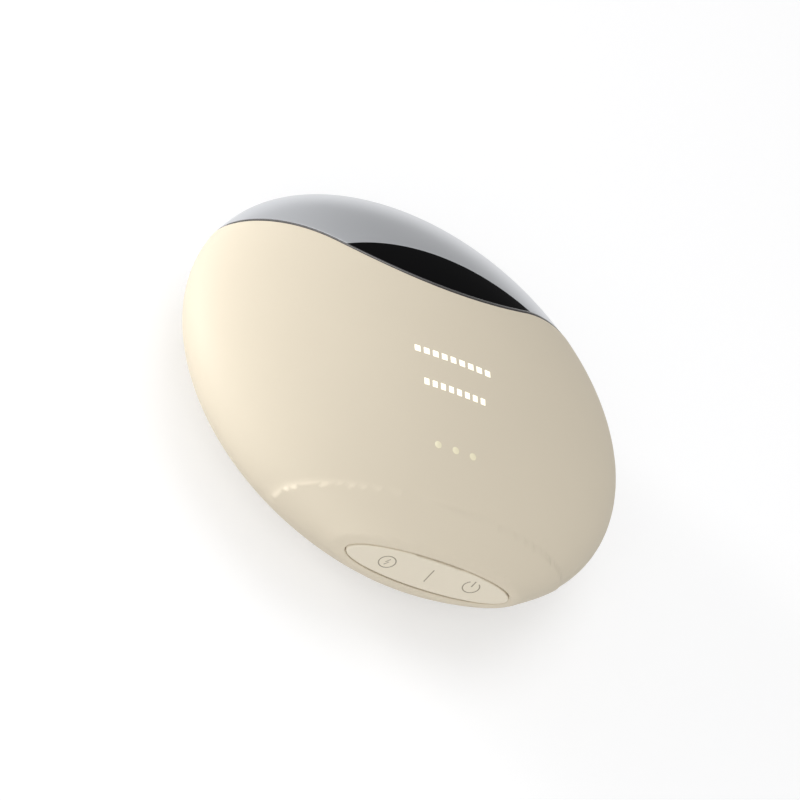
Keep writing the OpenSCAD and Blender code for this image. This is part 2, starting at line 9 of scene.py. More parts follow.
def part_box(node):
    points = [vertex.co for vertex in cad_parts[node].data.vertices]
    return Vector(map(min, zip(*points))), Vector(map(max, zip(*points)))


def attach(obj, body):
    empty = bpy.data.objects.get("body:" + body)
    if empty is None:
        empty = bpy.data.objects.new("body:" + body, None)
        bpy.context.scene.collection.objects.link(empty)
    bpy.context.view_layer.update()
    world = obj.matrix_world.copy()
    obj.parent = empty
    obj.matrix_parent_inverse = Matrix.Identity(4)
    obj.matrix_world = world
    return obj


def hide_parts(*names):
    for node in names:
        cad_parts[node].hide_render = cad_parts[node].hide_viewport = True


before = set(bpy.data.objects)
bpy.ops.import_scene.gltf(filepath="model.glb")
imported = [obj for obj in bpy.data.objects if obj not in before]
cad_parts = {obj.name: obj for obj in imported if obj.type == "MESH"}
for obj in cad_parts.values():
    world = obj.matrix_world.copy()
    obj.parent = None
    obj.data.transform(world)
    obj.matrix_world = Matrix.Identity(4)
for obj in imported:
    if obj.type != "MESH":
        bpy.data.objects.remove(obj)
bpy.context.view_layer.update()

MM = 0.001

# --- Camera, floor and light -------------------------------------------------------------
# The photograph looks down on the device from its key end and left side through a long
# lens. The device lies on its back on a white sweep, in soft light from the upper left.

CAMERA_DISTANCE = 0.5067
CAMERA_RIGHT = Vector((0.8474, -0.0729, 0.5260))
CAMERA_DOWN = Vector((0.3048, -0.7443, -0.5942))
CAMERA_LENS = 126.0
CAMERA_OFF_RIGHT = 0.00095
CAMERA_OFF_DOWN = -0.00131
KEY_INSET = 1.9
BODY_R = 45.0
BODY_HALF_T = 15.6
BODY_Z = 15.0
BODY_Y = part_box("main_shell")[0].y / MM + BODY_R - KEY_INSET
body_centre = Vector((0.0, BODY_Y * MM, BODY_Z * MM))
FLOOR_HALF = 3.0
FLOOR_COLOUR = (0.84, 0.84, 0.845)
FLOOR_SHADE = (0.60, 0.60, 0.605)
FLOOR_LIFT = 0.46
WORLD_LIGHT = 0.48
SHINE_RIGHT = 0.46
SHINE_LEFT = 0.80
SHINE_SPAN = (0.38, -0.08)


def make_camera():
    right = CAMERA_RIGHT.normalized()
    ahead = right.cross(CAMERA_DOWN).normalized()
    down = ahead.cross(right)
    data = bpy.data.cameras.new("camera")
    data.lens = CAMERA_LENS
    data.sensor_width = 36.0
    data.clip_start = 0.01
    data.clip_end = 20.0
    camera = bpy.data.objects.new("camera", data)
    place = body_centre - ahead * CAMERA_DISTANCE - right * CAMERA_OFF_RIGHT - down * CAMERA_OFF_DOWN
    turn = Matrix((right, -down, -ahead)).transposed().to_4x4()
    camera.matrix_world = Matrix.Translation(place) @ turn
    bpy.context.scene.collection.objects.link(camera)
    bpy.context.scene.camera = camera


def make_floor():
    """A pale floor that the camera and reflections see as a white sweep with soft shadows."""
    mesh = bpy.data.meshes.new("floor")
    corners = [(x * FLOOR_HALF, y * FLOOR_HALF, 0) for x, y in ((-1, -1), (1, -1), (1, 1), (-1, 1))]
    mesh.from_pydata(corners, [], [(0, 1, 2, 3)])
    floor = bpy.data.objects.new("floor", mesh)
    bpy.context.scene.collection.objects.link(floor)
    material = bpy.data.materials.new("white_sweep")
    material.use_nodes = True
    nodes, links = material.node_tree.nodes, material.node_tree.links
    surface = nodes["Principled BSDF"]
    surface.inputs["Roughness"].default_value = 0.9
    surface.inputs["Specular IOR Level"].default_value = 0.1
    surface.inputs["Emission Color"].default_value = (1.0, 1.0, 1.0, 1.0)
    path = nodes.new("ShaderNodeLightPath")
    seen = nodes.new("ShaderNodeMath")
    seen.operation = "MAXIMUM"
    links.new(path.outputs["Is Camera Ray"], seen.inputs[0])
    links.new(path.outputs["Is Glossy Ray"], seen.inputs[1])
    colour = nodes.new("ShaderNodeMix")
    colour.data_type = "RGBA"
    colour.inputs["A"].default_value = (*FLOOR_COLOUR, 1.0)
    colour.inputs["B"].default_value = (*FLOOR_SHADE, 1.0)
    links.new(seen.outputs[0], colour.inputs["Factor"])
    links.new(colour.outputs["Result"], surface.inputs["Base Color"])
    lift = nodes.new("ShaderNodeMath")
    lift.operation = "MULTIPLY"
    lift.inputs[1].default_value = FLOOR_LIFT
    links.new(seen.outputs[0], lift.inputs[0])
    links.new(lift.outputs[0], surface.inputs["Emission Strength"])
    mesh.materials.append(material)


def make_world():
    """Even light all round, which shiny surfaces see brighter towards the left."""
    world = bpy.data.worlds.new("studio")
    bpy.context.scene.world = world
    world.use_nodes = True
    nodes, links = world.node_tree.nodes, world.node_tree.links
    background = nodes["Background"]
    background.inputs["Color"].default_value = (1.0, 1.0, 1.0, 1.0)
    path = nodes.new("ShaderNodeLightPath")
    place = nodes.new("ShaderNodeTexCoord")
    split = nodes.new("ShaderNodeSeparateXYZ")
    sweep = nodes.new("ShaderNodeMapRange")
    sweep.interpolation_type = "SMOOTHSTEP"
    sweep.inputs["From Min"].default_value = SHINE_SPAN[0]
    sweep.inputs["From Max"].default_value = SHINE_SPAN[1]
    sweep.inputs["To Min"].default_value = SHINE_RIGHT
    sweep.inputs["To Max"].default_value = SHINE_LEFT
    shiny = nodes.new("ShaderNodeMix")
    shiny.inputs["A"].default_value = WORLD_LIGHT
    seen = nodes.new("ShaderNodeMix")
    seen.inputs["B"].default_value = 1.0
    links.new(place.outputs["Generated"], split.inputs["Vector"])
    links.new(split.outputs["X"], sweep.inputs["Value"])
    links.new(path.outputs["Is Glossy Ray"], shiny.inputs["Factor"])
    links.new(sweep.outputs["Result"], shiny.inputs["B"])
    links.new(path.outputs["Is Camera Ray"], seen.inputs["Factor"])
    links.new(shiny.outputs["Result"], seen.inputs["A"])
    links.new(seen.outputs["Result"], background.inputs["Strength"])


def soft_light(name, towards, distance, size, power):
    """A round lamp at a distance from the body's centre, turned to it."""
    data = bpy.data.lights.new(name, "AREA")
    data.shape = "DISK"
    data.size = size
    data.energy = power
    light = bpy.data.objects.new(name, data)
    out = Vector(towards).normalized()
    light.matrix_world = (Matrix.Translation(body_centre + out * distance)
                          @ out.to_track_quat("Z", "Y").to_matrix().to_4x4())
    bpy.context.scene.collection.objects.link(light)


make_camera()
make_floor()
make_world()
soft_light("side_light", (-0.9, 0.5, 0.1), 0.9, 0.3, 6.8)
soft_light("end_light", (-0.4, -0.75, 0.5), 0.9, 0.9, 3.3)
soft_light("top_light", (0.0, 0.3, 1.0), 1.1, 0.9, 2.9)
bpy.context.scene.view_settings.view_transform = "Standard"

# --- Main shell --------------------------------------------------------------------------
# One moulded beige part, sprayed with a satin soft-touch coat: the front and the sides down
# to the seam of the back cover. Its key end runs on from the round outline and is cut flat.

EDGE_DIP = 13.6
EDGE_SIDE = 22.5
EDGE_RUN = 36.0
EDGE_DIP_R = 44.0
EDGE_TURN = 2 * math.atan((EDGE_SIDE - EDGE_DIP) / EDGE_RUN)
EDGE_SIDE_R = EDGE_RUN / math.sin(EDGE_TURN) - EDGE_DIP_R
KEY_FACE = BODY_R - KEY_INSET
key_low, key_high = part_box("key_plate")
KEY_RISE = (key_low.z + key_high.z) / 2 / MM - BODY_Z
KEY_HALF_W = key_high.x / MM
KEY_HALF_H = (key_high.z - key_low.z) / 2 / MM
KEY_GAP = 0.25
KEY_RIM = 1.2
KEY_RIM_W = KEY_HALF_W + KEY_GAP + KEY_RIM
KEY_RIM_H = KEY_HALF_H + KEY_GAP + KEY_RIM
KEY_TURN = math.atan2(KEY_FACE, KEY_RIM_W) - math.acos(BODY_R / math.hypot(KEY_RIM_W, KEY_FACE))
KEY_END_Y = -BODY_R * math.sin(KEY_TURN)
KEY_END_SINK = 0.5
KEY_SLOPE = (BODY_R * math.cos(KEY_TURN) - KEY_END_SINK - KEY_RIM_W) / (KEY_END_Y + KEY_FACE)
KEY_BLEND = 2.2
FACET_BLEND = 1.3
REST_BLEND = 0.5
SEAM_Z = -8.6
SHELL_WALL = 2.0
SHELL_EDGES = (0.35, 0.12, 0.35)
NET_STEPS = 100
EDGE_ROWS = (1.0, 0.66, 0.36, 0.14, 0.03)
ROW_SNAP = 0.06
EDGE_SNAP = 0.02


def edge_y(x):
    """Height of the head's edge curve at x."""
    x = np.abs(x)
    turn_x = EDGE_DIP_R * math.sin(EDGE_TURN)
    dip = EDGE_DIP + EDGE_DIP_R - np.sqrt(EDGE_DIP_R ** 2 - np.minimum(x, turn_x) ** 2)
    out = np.clip(EDGE_RUN - x, -EDGE_SIDE_R * 0.99, EDGE_SIDE_R * 0.99)
    side = EDGE_SIDE - EDGE_SIDE_R + np.sqrt(EDGE_SIDE_R ** 2 - out ** 2)
    return np.where(x < turn_x, dip, side)


def smooth_min(a, b, width):
    share = np.clip(0.5 + 0.5 * (b - a) / width, 0, 1)
    return b * (1 - share) + a * share - width * share * (1 - share)


def smooth_max(a, b, width):
    return -smooth_min(-a, -b, width)


def oval_distance(q, semi):
    """Nearly the distance to an ellipse or ellipsoid about the origin, negative inside."""
    k0 = np.linalg.norm(q / semi, axis=-1)
    k1 = np.linalg.norm(q / semi ** 2, axis=-1)
    return k0 * (k0 - 1) / np.maximum(k1, 1e-9)


def body_distance(p):
    """Distance to the whole body's skin in mm, negative inside."""
    round_form = oval_distance(p, np.array([BODY_R, BODY_R, BODY_HALF_T]))
    across = np.hypot(p[..., 0], (p[..., 2] - KEY_RISE) * KEY_RIM_W / KEY_RIM_H)
    cone = (across - KEY_RIM_W - KEY_SLOPE * (p[..., 1] + KEY_FACE)) / math.hypot(1, KEY_SLOPE)
    cone = np.where(cone > 0, cone, cone * KEY_RIM_H / KEY_RIM_W)
    cone = np.maximum(cone, p[..., 1] - KEY_END_Y)
    form = smooth_min(round_form, cone, KEY_BLEND)
    form = smooth_max(form, -(p[..., 1] + KEY_FACE), FACET_BLEND)
    return smooth_max(form, -(p[..., 2] + BODY_Z), REST_BLEND)


def skin_points(directions, sink):
    """Where rays from the body's centre pass the skin that lies sink mm inside."""
    low = np.zeros(len(directions))
    high = np.full(len(directions), BODY_R + 5.0)
    for _ in range(30):
        middle = (low + high) / 2
        outside = body_distance(directions * middle[:, None]) > -sink
        high = np.where(outside, middle, high)
        low = np.where(outside, low, middle)
    return directions * ((low + high) / 2)[:, None]


def gradient(field, points, step=1e-3):
    parts = []
    for axis in range(3):
        shift = np.zeros(3)
        shift[axis] = step
        parts.append(field(points + shift) - field(points - shift))
    return np.stack(parts, -1) / (2 * step)


def unit(vectors):
    return vectors / np.maximum(np.linalg.norm(vectors, axis=-1, keepdims=True), 1e-12)


def along_skin(field, points, normals):
    """The field's slope within the skin."""
    slope = gradient(field, points)
    return slope - normals * (slope * normals).sum(-1, keepdims=True)


def beyond_edge(shift, side=1.0):
    """Distance past the head's edge curve moved by shift, on the head's side or before it."""
    def field(p):
        x = p[..., 0]
        slope = (edge_y(x + 0.01) - edge_y(x - 0.01)) / 0.02
        return side * (p[..., 1] - edge_y(x) - shift) / np.sqrt(1 + slope ** 2)
    return field


def outside_key(grow):
    """Distance from the key opening, which only counts at the key end."""
    semi = np.array([KEY_HALF_W, KEY_HALF_H])

    def field(p):
        q = np.stack([p[..., 0], p[..., 2] - KEY_RISE], -1)
        return np.where(p[..., 1] < KEY_END_Y, oval_distance(q, semi) - grow, BODY_R)
    return field


def above(level):
    return lambda p: p[..., 2] - level


def below(level):
    return lambda p: level - p[..., 2]


def sphere_net(steps):
    """An even net of quads on a sphere: unit directions and faces."""
    lines = np.tan(np.linspace(-math.pi / 4, math.pi / 4, steps + 1))
    u, v = np.meshgrid(lines, lines, indexing="ij")
    one = np.ones_like(u)
    sides = [(one, u, v), (-one, -u, v), (-u, one, v), (u, -one, v), (-v, u, one), (v, u, -one)]
    index = np.arange((steps + 1) ** 2).reshape(steps + 1, steps + 1)
    quads = np.stack([index[:-1, :-1], index[1:, :-1], index[1:, 1:], index[:-1, 1:]], -1).reshape(-1, 4)
    points = np.concatenate([np.stack(side, -1).reshape(-1, 3) for side in sides])
    faces = np.concatenate([quads + i * (steps + 1) ** 2 for i in range(6)])
    return unit(points), faces


def body_net(steps, sink, fields, margin=2.0):
    """The part of the skin where every field is above -margin, as a bmesh in mm."""
    directions, faces = sphere_net(steps)
    rough = directions / np.linalg.norm(directions / [BODY_R, BODY_R, BODY_HALF_T], axis=1)[:, None]
    near = np.ones(len(rough), bool)
    for field in fields:
        near &= field(rough) > -margin
    faces = faces[near[faces].any(axis=1)]
    used, faces = np.unique(faces, return_inverse=True)
    faces = faces.reshape(-1, 4)
    points = skin_points(directions[used], sink)
    bm = bmesh.new()
    verts = [bm.verts.new(p) for p in points]
    for face in faces:
        bm.faces.new([verts[i] for i in face])
    bmesh.ops.remove_doubles(bm, verts=bm.verts, dist=1e-4)
    return bm


def mark_line(bm, field, level, snap):
    """Adds a line of edges to the net where the field passes the level."""
    bm.verts.ensure_lookup_table()
    bm.verts.index_update()
    points = np.array([v.co for v in bm.verts])
    values = field(points) - level
    near = np.where(np.abs(values) < snap)[0]
    if len(near):
        slope = along_skin(field, points[near], unit(gradient(body_distance, points[near])))
        size = (slope ** 2).sum(-1)
        moved = points[near] - slope * (values[near] / np.maximum(size, 1e-4))[:, None]
        for i, steep, place in zip(near, size, moved):
            if steep > 0.05:
                bm.verts[i].co = place
                values[i] = 0.0
    crossing = []
    for edge in bm.edges:
        a, b = edge.verts
        if values[a.index] * values[b.index] < 0:
            crossing.append((edge, a, values[a.index] / (values[a.index] - values[b.index])))
    on_line = [bm.verts[i] for i in np.where(values == 0.0)[0]]
    for edge, start, share in crossing:
        on_line.append(bmesh.utils.edge_split(edge, start, share)[1])
    bmesh.ops.connect_verts(bm, verts=on_line, check_degenerate=True)


def skin_piece(name, fields, edge_rs, wall, sink=0.0, steps=NET_STEPS):
    """A closed wall of the body's form where every field is positive, each edge rounded."""
    bm = body_net(steps, sink, fields)
    for field, edge_r in zip(fields, edge_rs):
        for row in EDGE_ROWS:
            mark_line(bm, field, row * edge_r, edge_r * ROW_SNAP)
        mark_line(bm, field, 0.0, edge_r * EDGE_SNAP)
    middles = np.array([f.calc_center_median() for f in bm.faces])
    keep = np.ones(len(middles), bool)
    for field in fields:
        keep &= field(middles) > 0
    doomed = [face for face, kept in zip(bm.faces, keep) if not kept]
    bmesh.ops.delete(bm, geom=doomed, context="FACES")
    bmesh.ops.triangulate(bm, faces=[f for f in bm.faces if len(f.verts) > 4])
    bm.verts.index_update()
    directions = unit(np.array([v.co for v in bm.verts]))
    skin = skin_points(directions, sink)
    normals = unit(gradient(body_distance, skin))
    drop = np.zeros(len(skin))
    lean = np.zeros_like(skin)
    for field, edge_r in zip(fields, edge_rs):
        inwards = edge_r - np.clip(field(skin), 0, edge_r)
        here = edge_r - np.sqrt(edge_r ** 2 - inwards ** 2)
        away = unit(along_skin(field, skin, normals)) * (inwards / edge_r)[:, None]
        lean = np.where((here > drop)[:, None], away, lean)
        drop = np.maximum(drop, here)
    outer = skin - normals * drop[:, None]
    inner = skin_points(directions, sink + wall)
    tilt = (lean ** 2).sum(-1, keepdims=True)
    outer_normals = normals * np.sqrt(np.maximum(1 - tilt, 0)) - lean
    inner_normals = -unit(gradient(body_distance, inner))
    count = len(skin)
    faces = [[v.index for v in f.verts] for f in bm.faces]
    rim = []
    for edge in bm.edges:
        if edge.is_boundary:
            loop = edge.link_loops[0]
            a, b = loop.vert.index, loop.link_loop_next.vert.index
            rim.append([b, a, a + count, b + count])
    bm.free()
    faces += [[i + count for i in reversed(face)] for face in faces] + rim
    return new_piece(name, np.concatenate([outer, inner]), faces,
                     np.concatenate([outer_normals, inner_normals]))


def new_piece(name, points, faces, normals=None):
    """A mesh object from points in mm about the body's centre."""
    mesh = bpy.data.meshes.new(name)
    row = (np.asarray(points) + [0.0, BODY_Y, BODY_Z]) * MM
    mesh.from_pydata(row.tolist(), [], [[int(i) for i in face] for face in faces])
    mesh.update()
    mesh.shade_smooth()
    if normals is not None:
        mesh.normals_split_custom_set_from_vertices(normals.tolist())
    piece = bpy.data.objects.new(name, mesh)
    bpy.context.scene.collection.objects.link(piece)
    return piece


def dress(piece, body, slot, material, *nodes):
    """Gives a piece its material and body and hides the solids it stands in for. The slot is not used."""
    piece.data.materials.clear()
    piece.data.materials.append(material)
    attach(piece, body)
    if nodes:
        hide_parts(*nodes)
    return piece


def grain_group():
    """Fine grain: varies a colour and a roughness, and gives a height for bump."""
    group = bpy.data.node_groups.new("fine_grain", "ShaderNodeTree")
    sockets = group.interface
    for name, kind in (("Colour", "NodeSocketColor"), ("Colour Shift", "NodeSocketFloat"),
                       ("Roughness", "NodeSocketFloat"), ("Roughness Shift", "NodeSocketFloat"),
                       ("Grain per mm", "NodeSocketFloat"), ("Stretch", "NodeSocketVector")):
        sockets.new_socket(name=name, in_out="INPUT", socket_type=kind)
    for name, kind in (("Colour", "NodeSocketColor"), ("Roughness", "NodeSocketFloat"),
                       ("Height", "NodeSocketFloat")):
        sockets.new_socket(name=name, in_out="OUTPUT", socket_type=kind)
    nodes, links = group.nodes, group.links
    given = nodes.new("NodeGroupInput")
    result = nodes.new("NodeGroupOutput")
    place = nodes.new("ShaderNodeTexCoord")
    stretch = nodes.new("ShaderNodeVectorMath")
    stretch.operation = "MULTIPLY"
    size = nodes.new("ShaderNodeVectorMath")
    size.operation = "SCALE"
    fine = nodes.new("ShaderNodeTexNoise")
    fine.inputs["Scale"].default_value = 1000.0
    fine.inputs["Detail"].default_value = 3.0
    broad = nodes.new("ShaderNodeTexNoise")
    broad.inputs["Scale"].default_value = 90.0
    broad.inputs["Detail"].default_value = 4.0
    links.new(place.outputs["Object"], stretch.inputs[0])
    links.new(given.outputs["Stretch"], stretch.inputs[1])
    links.new(stretch.outputs[0], size.inputs[0])
    links.new(given.outputs["Grain per mm"], size.inputs["Scale"])
    links.new(size.outputs[0], fine.inputs["Vector"])
    links.new(stretch.outputs[0], broad.inputs["Vector"])
    mixed = nodes.new("ShaderNodeMath")
    mixed.operation = "MULTIPLY_ADD"
    mixed.inputs[1].default_value = 0.5
    links.new(fine.outputs["Fac"], mixed.inputs[0])
    half = nodes.new("ShaderNodeMath")
    half.operation = "MULTIPLY"
    half.inputs[1].default_value = 0.5
    links.new(broad.outputs["Fac"], half.inputs[0])
    links.new(half.outputs[0], mixed.inputs[2])
    centred = nodes.new("ShaderNodeMath")
    centred.operation = "SUBTRACT"
    centred.inputs[1].default_value = 0.5
    links.new(mixed.outputs[0], centred.inputs[0])
    bright = nodes.new("ShaderNodeMath")
    bright.operation = "MULTIPLY_ADD"
    bright.inputs[2].default_value = 1.0
    links.new(centred.outputs[0], bright.inputs[0])
    links.new(given.outputs["Colour Shift"], bright.inputs[1])
    shade = nodes.new("ShaderNodeVectorMath")
    shade.operation = "SCALE"
    links.new(given.outputs["Colour"], shade.inputs[0])
    links.new(bright.outputs[0], shade.inputs["Scale"])
    links.new(shade.outputs[0], result.inputs["Colour"])
    rough = nodes.new("ShaderNodeMath")
    rough.operation = "MULTIPLY_ADD"
    links.new(centred.outputs[0], rough.inputs[0])
    links.new(given.outputs["Roughness Shift"], rough.inputs[1])
    links.new(given.outputs["Roughness"], rough.inputs[2])
    links.new(rough.outputs[0], result.inputs["Roughness"])
    links.new(fine.outputs["Fac"], result.inputs["Height"])
    return group


fine_grain = grain_group()


def finish(name, colour, roughness, metallic=0.0, grain=4.0, colour_shift=0.06, roughness_shift=0.12,
           bump=0.05, stretch=(1, 1, 1), specular=0.5, depth=0.00002):
    """A surface with fine grain, of one colour unless another is linked to its grain node."""
    material = bpy.data.materials.new(name)
    material.use_nodes = True
    nodes, links = material.node_tree.nodes, material.node_tree.links
    surface = nodes["Principled BSDF"]
    surface.inputs["Metallic"].default_value = metallic
    surface.inputs["Specular IOR Level"].default_value = specular
    grained = nodes.new("ShaderNodeGroup")
    grained.name = "grain"
    grained.node_tree = fine_grain
    grained.inputs["Colour"].default_value = (*colour, 1.0)
    grained.inputs["Colour Shift"].default_value = colour_shift
    grained.inputs["Roughness"].default_value = roughness
    grained.inputs["Roughness Shift"].default_value = roughness_shift
    grained.inputs["Grain per mm"].default_value = grain
    grained.inputs["Stretch"].default_value = stretch
    relief = nodes.new("ShaderNodeBump")
    relief.name = "relief"
    relief.inputs["Strength"].default_value = bump
    relief.inputs["Distance"].default_value = depth
    links.new(grained.outputs["Colour"], surface.inputs["Base Color"])
    links.new(grained.outputs["Roughness"], surface.inputs["Roughness"])
    links.new(grained.outputs["Height"], relief.inputs["Height"])
    links.new(relief.outputs["Normal"], surface.inputs["Normal"])
    return material


SHELL_COLOUR = (0.70, 0.625, 0.495)
soft_touch = finish("soft_touch_beige", SHELL_COLOUR, 0.6, grain=6.0, colour_shift=0.05,
                    roughness_shift=0.1, bump=0.12, specular=0.3)
main_shell = skin_piece(
    "shell_body", [beyond_edge(0.0, -1.0), outside_key(KEY_GAP), above(SEAM_Z)], SHELL_EDGES, SHELL_WALL)
dress(main_shell, "housing", "shell", soft_touch, "main_shell")

# --- Lit marks ---------------------------------------------------------------------------
# A clear light guide behind the front: its bars and dots come through the shell, level with
# the coat, and glow warm white. The two rows are lit, the three dots are dimmer.

ROWS = ((-4.7, 16.0, 9), (-11.7, 12.8, 8))
BAR_H = 1.5
BAR_GAP = 0.55
DOTS_Y = -24.0
DOT_PITCH = 3.55
DOT_R = 0.73
MARK_PROUD = 0.02
MARK_DEPTH = 1.6
MARK_EDGE = 0.12
DOT_SIDES = 40


def skin_height(x, y):
    """Height of the front's skin over points of the plan."""
    return BODY_HALF_T * np.sqrt(1 - (x ** 2 + y ** 2) / BODY_R ** 2)


def row_tree(material):
    """Geometry nodes that set a row of bars or dots along a line, evenly about its middle."""
    tree = bpy.data.node_groups.new("mark_row", "GeometryNodeTree")
    for name, kind in (("Count", "NodeSocketInt"), ("Pitch", "NodeSocketFloat"),
                       ("Width", "NodeSocketFloat"), ("Height", "NodeSocketFloat"),
                       ("Depth", "NodeSocketFloat"), ("Round", "NodeSocketBool")):
        tree.interface.new_socket(name=name, in_out="INPUT", socket_type=kind)
    tree.interface.new_socket(name="Geometry", in_out="OUTPUT", socket_type="NodeSocketGeometry")
    nodes, links = tree.nodes, tree.links
    given = nodes.new("NodeGroupInput")
    result = nodes.new("NodeGroupOutput")

    def maths(operation, first, second):
        node = nodes.new("ShaderNodeMath")
        node.operation = operation
        for socket, value in zip(node.inputs, (first, second)):
            if isinstance(value, float):
                socket.default_value = value
            else:
                links.new(value, socket)
        return node.outputs[0]

    def vector(x, y, z):
        node = nodes.new("ShaderNodeCombineXYZ")
        for socket, value in zip(node.inputs, (x, y, z)):
            if isinstance(value, float):
                socket.default_value = value
            else:
                links.new(value, socket)
        return node.outputs[0]

    gaps = maths("SUBTRACT", given.outputs["Count"], 1.0)
    start = maths("MULTIPLY", maths("MULTIPLY", gaps, given.outputs["Pitch"]), -0.5)
    line = nodes.new("GeometryNodeMeshLine")
    links.new(given.outputs["Count"], line.inputs["Count"])
    links.new(vector(start, 0.0, 0.0), line.inputs["Start Location"])
    links.new(vector(given.outputs["Pitch"], 0.0, 0.0), line.inputs["Offset"])
    bar = nodes.new("GeometryNodeMeshCube")
    links.new(vector(given.outputs["Width"], given.outputs["Height"], given.outputs["Depth"]),
              bar.inputs["Size"])
    dot = nodes.new("GeometryNodeMeshCylinder")
    dot.inputs["Vertices"].default_value = DOT_SIDES
    links.new(maths("MULTIPLY", given.outputs["Width"], 0.5), dot.inputs["Radius"])
    links.new(given.outputs["Depth"], dot.inputs["Depth"])
    choice = nodes.new("GeometryNodeSwitch")
    choice.input_type = "GEOMETRY"
    links.new(given.outputs["Round"], choice.inputs["Switch"])
    links.new(bar.outputs["Mesh"], choice.inputs["False"])
    links.new(dot.outputs["Mesh"], choice.inputs["True"])
    spread = nodes.new("GeometryNodeInstanceOnPoints")
    links.new(line.outputs["Mesh"], spread.inputs["Points"])
    links.new(choice.outputs["Output"], spread.inputs["Instance"])
    real = nodes.new("GeometryNodeRealizeInstances")
    links.new(spread.outputs["Instances"], real.inputs["Geometry"])
    painted = nodes.new("GeometryNodeSetMaterial")
    painted.inputs["Material"].default_value = material
    links.new(real.outputs["Geometry"], painted.inputs["Geometry"])
    links.new(painted.outputs["Geometry"], result.inputs["Geometry"])
    return tree


def mark_row(name, material, y, count, pitch, width, height, round_marks):
    """One row of marks, rounded over and laid on the front's skin."""
    mesh = bpy.data.meshes.new(name)
    maker = bpy.data.objects.new(name + "_maker", mesh)
    bpy.context.scene.collection.objects.link(maker)
    grow = maker.modifiers.new("row", "NODES")
    grow.node_group = row_tree(material)
    values = {"Count": count, "Pitch": pitch * MM, "Width": width * MM, "Height": height * MM,
              "Depth": MARK_DEPTH * MM, "Round": round_marks}
    for item in grow.node_group.interface.items_tree:
        if item.item_type == "SOCKET" and item.in_out == "INPUT":
            grow[item.identifier] = values[item.name]
    edge = maker.modifiers.new("edge", "BEVEL")
    edge.width = MARK_EDGE * MM
    edge.segments = 3
    edge.limit_method = "ANGLE"
    graph = bpy.context.evaluated_depsgraph_get()
    made = bpy.data.meshes.new_from_object(maker.evaluated_get(graph))
    bpy.data.objects.remove(maker)
    for vert in made.vertices:
        x, up = vert.co.x / MM, vert.co.z / MM - MARK_DEPTH / 2
        across = vert.co.y / MM + y
        lifted = skin_height(x, across) + MARK_PROUD + up
        vert.co = (x * MM, (across + BODY_Y) * MM, (lifted + BODY_Z) * MM)
    made.name = name
    made.shade_smooth()
    made.set_sharp_from_angle(angle=math.radians(50))
    piece = bpy.data.objects.new(name, made)
    bpy.context.scene.collection.objects.link(piece)
    return piece


def glow(name, colour, strength):
    """A moulded surface that gives off light of its own colour."""
    material = finish(name, colour, 0.35, grain=2.0, colour_shift=0.04, bump=0.02)
    surface = material.node_tree.nodes["Principled BSDF"]
    links = material.node_tree.links
    links.new(material.node_tree.nodes["grain"].outputs["Colour"], surface.inputs["Emission Color"])
    surface.inputs["Emission Strength"].default_value = strength
    return material


lit_white = glow("lit_warm_white", (1.0, 0.96, 0.80), 0.55)
dim_white = glow("dim_warm_white", (0.78, 0.72, 0.52), 0.12)
for number, (row_y, row_w, row_count) in enumerate(ROWS, 1):
    bar_w = (row_w - (row_count - 1) * BAR_GAP) / row_count
    row = mark_row(f"lit_row_{number}", lit_white, row_y, row_count, bar_w + BAR_GAP, bar_w, BAR_H, False)
    dress(row, "housing", "warm_light", lit_white)
dots = mark_row("level_dots", dim_white, DOTS_Y, 3, DOT_PITCH, 2 * DOT_R, 2 * DOT_R, True)
dress(dots, "housing", "warm_light", dim_white)


def rounded_slab(name, low, high, edge_r, segments=3):
    """A slab between two corners in mm, its edges rounded over."""
    bm = bmesh.new()
    bmesh.ops.create_cube(bm, size=1.0)
    low, high = Vector(low), Vector(high)
    for vert in bm.verts:
        vert.co = [(a + b) / 2 + c * (b - a) for a, b, c in zip(low, high, vert.co)]
    bmesh.ops.bevel(bm, geom=bm.edges[:], offset=edge_r, segments=segments, affect="EDGES", profile=0.5)
    bm.verts.index_update()
    points = [tuple(v.co) for v in bm.verts]
    faces = [[v.index for v in f.verts] for f in bm.faces]
    bm.free()
    return new_piece(name, points, faces)


guide_low, guide_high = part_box("light_guide")
mask_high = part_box("light_mask")[1]
GUIDE_T = 1.2
guide_bottom = mask_high.z / MM - BODY_Z
clear_guide = finish("clear_guide", (0.85, 0.84, 0.78), 0.25, grain=1.5, colour_shift=0.05, bump=0.03)
guide = rounded_slab(
    "guide_plate",
    (guide_low.x / MM, guide_low.y / MM - BODY_Y, guide_bottom),
    (guide_high.x / MM, guide_high.y / MM - BODY_Y, guide_bottom + GUIDE_T), 0.2)
dress(guide, "housing", "warm_light", clear_guide, "light_guide")

# --- Key plate ---------------------------------------------------------------------------
# An oval moulded plate in the flat end, set in an even gap. It rocks on a pin behind its
# middle. Thin printed lines show a charge sign, a dividing stroke and a power sign.

KEY_T = 1.2
KEY_EDGE = 0.28
KEY_EDGE_STEPS = 6
KEY_SIDES = 288
KEY_RINGS = 14
KEY_CORE = 0.1
KEY_BACK_INSET = 1.2
NOTCH_HALF = 4.85
NOTCH_DEPTH = 0.22
NOTCH_RUN = 0.5
PRINT_R = 0.11
PRINT_T = 0.012
PLATE_Y = PRINT_T - KEY_FACE
SIGN_R = 1.5
CHARGE_AT = (-8.28, 1.45)
POWER_AT = (8.34, 1.95)
STROKE_X = 0.16
STROKE_DOWN = 1.75
STROKE_UP = 1.65


